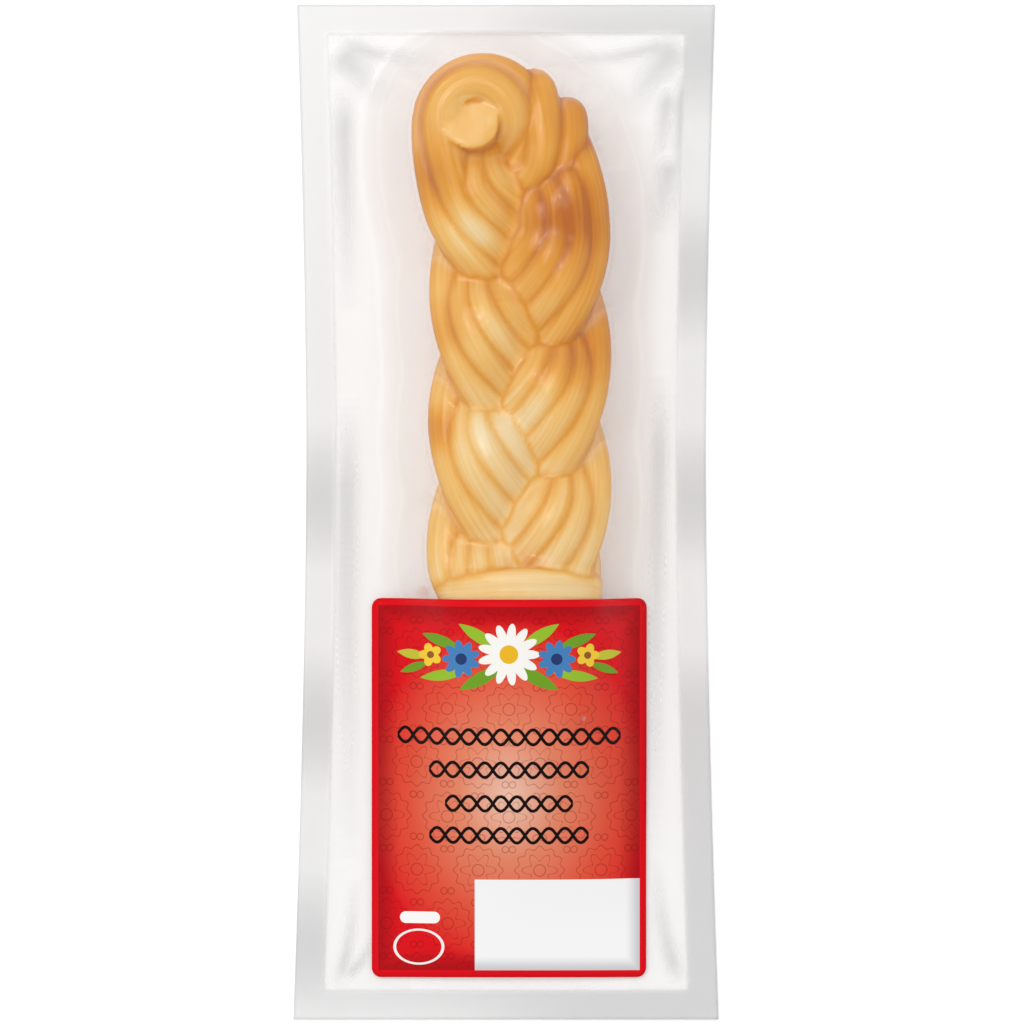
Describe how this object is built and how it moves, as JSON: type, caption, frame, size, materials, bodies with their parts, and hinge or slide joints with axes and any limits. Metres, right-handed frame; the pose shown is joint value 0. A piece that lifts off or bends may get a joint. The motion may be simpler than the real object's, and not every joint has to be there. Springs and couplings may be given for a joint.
{
  "type": "braided string cheese",
  "caption": "Braided smoked string cheese with a folded loop end and a tied lower end, vacuum packed in a clear sealed bag with a printed label.",
  "frame": {"origin": "middle of the bag's flat back, on the surface that the pack lies on", "axes": "+Y to the loop end of the braid, +Z out of the front of the pack, +X to the right seen from the front"},
  "size_m": [0.0722, 0.1724, 0.02],
  "materials": {
    "film": "clear gloss film, milky at the seals",
    "cheese": "waxy, cream to amber, lightly smoked",
    "label": "satin printed sticker"
  },
  "bodies": {
    "root": {"bag": "film", "label": "label"}
  },
  "joints": []
}
